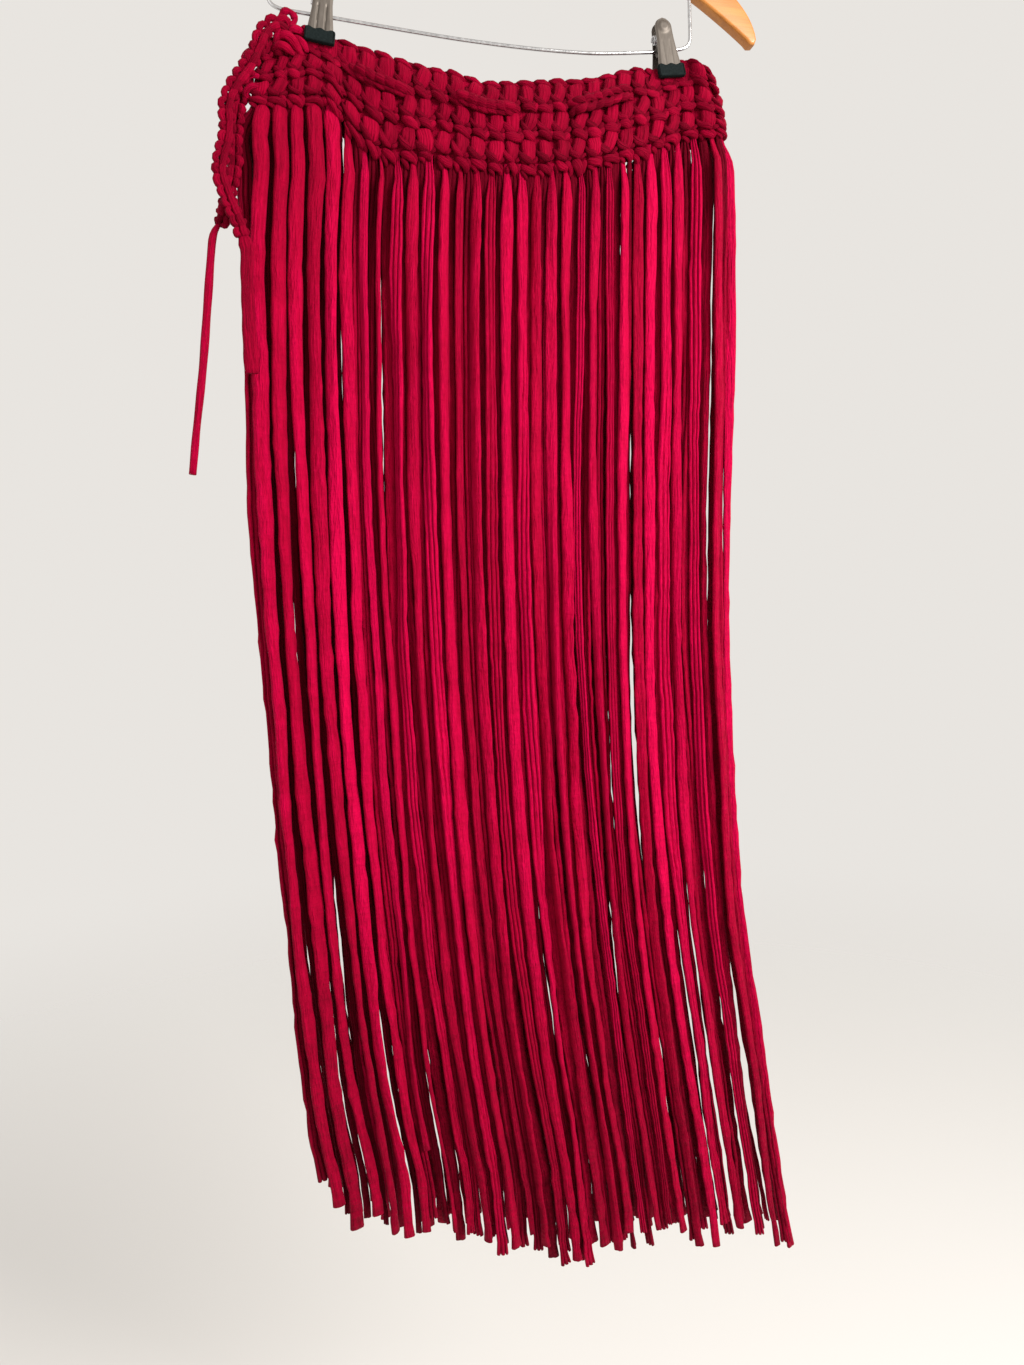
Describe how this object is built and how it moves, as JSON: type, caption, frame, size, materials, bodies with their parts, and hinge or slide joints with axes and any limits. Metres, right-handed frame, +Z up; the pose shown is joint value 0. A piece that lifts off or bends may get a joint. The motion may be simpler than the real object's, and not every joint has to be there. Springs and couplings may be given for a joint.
{
  "type": "fringed crochet maxi skirt on a wooden clip hanger",
  "caption": "Long skirt of chunky yarn: a sagging crocheted waistband with a woven-in drawstring and full-length fringe, clipped to a wooden hanger with a wire bar.",
  "frame": {"origin": "the highest point inside the hanger's hook, where a rail carries it", "axes": "+Z up, +X along the hanger's bar towards the side where the waistband turns to the back, the skirt's front faces -Y"},
  "size_m": [0.5154, 0.0548, 1.2889],
  "materials": {
    "yarn": "rolled cotton jersey yarn, matt crimson",
    "wood": "clear-lacquered honey-coloured wood",
    "chrome_wire": "bright plated wire",
    "clip_steel": "satin steel sheet",
    "clip_rubber": "black grip sleeve"
  },
  "bodies": {
    "root": {"hanger_wood": "wood", "hanger_hook": "chrome_wire", "hanger_bar": "chrome_wire", "clip_l_jaw_front": "clip_steel", "clip_l_jaw_back": "clip_steel", "clip_l_pad_front": "clip_rubber", "clip_l_pad_back": "clip_rubber", "clip_l_spring": "chrome_wire", "clip_r_jaw_front": "clip_steel", "clip_r_jaw_back": "clip_steel", "clip_r_pad_front": "clip_rubber", "clip_r_pad_back": "clip_rubber", "clip_r_spring": "chrome_wire", "band": "yarn", "fringe_front": "yarn", "fringe_back": "yarn", "drawstring_front_1": "yarn", "drawstring_front_2": "yarn", "drawstring_front_3": "yarn", "drawstring_back_1": "yarn", "drawstring_back_2": "yarn", "drawstring_back_3": "yarn", "tie_chain_a": "yarn", "tie_chain_b": "yarn", "tie_tail_a": "yarn", "tie_tail_b": "yarn", "corner_loop": "yarn"}
  },
  "joints": []
}
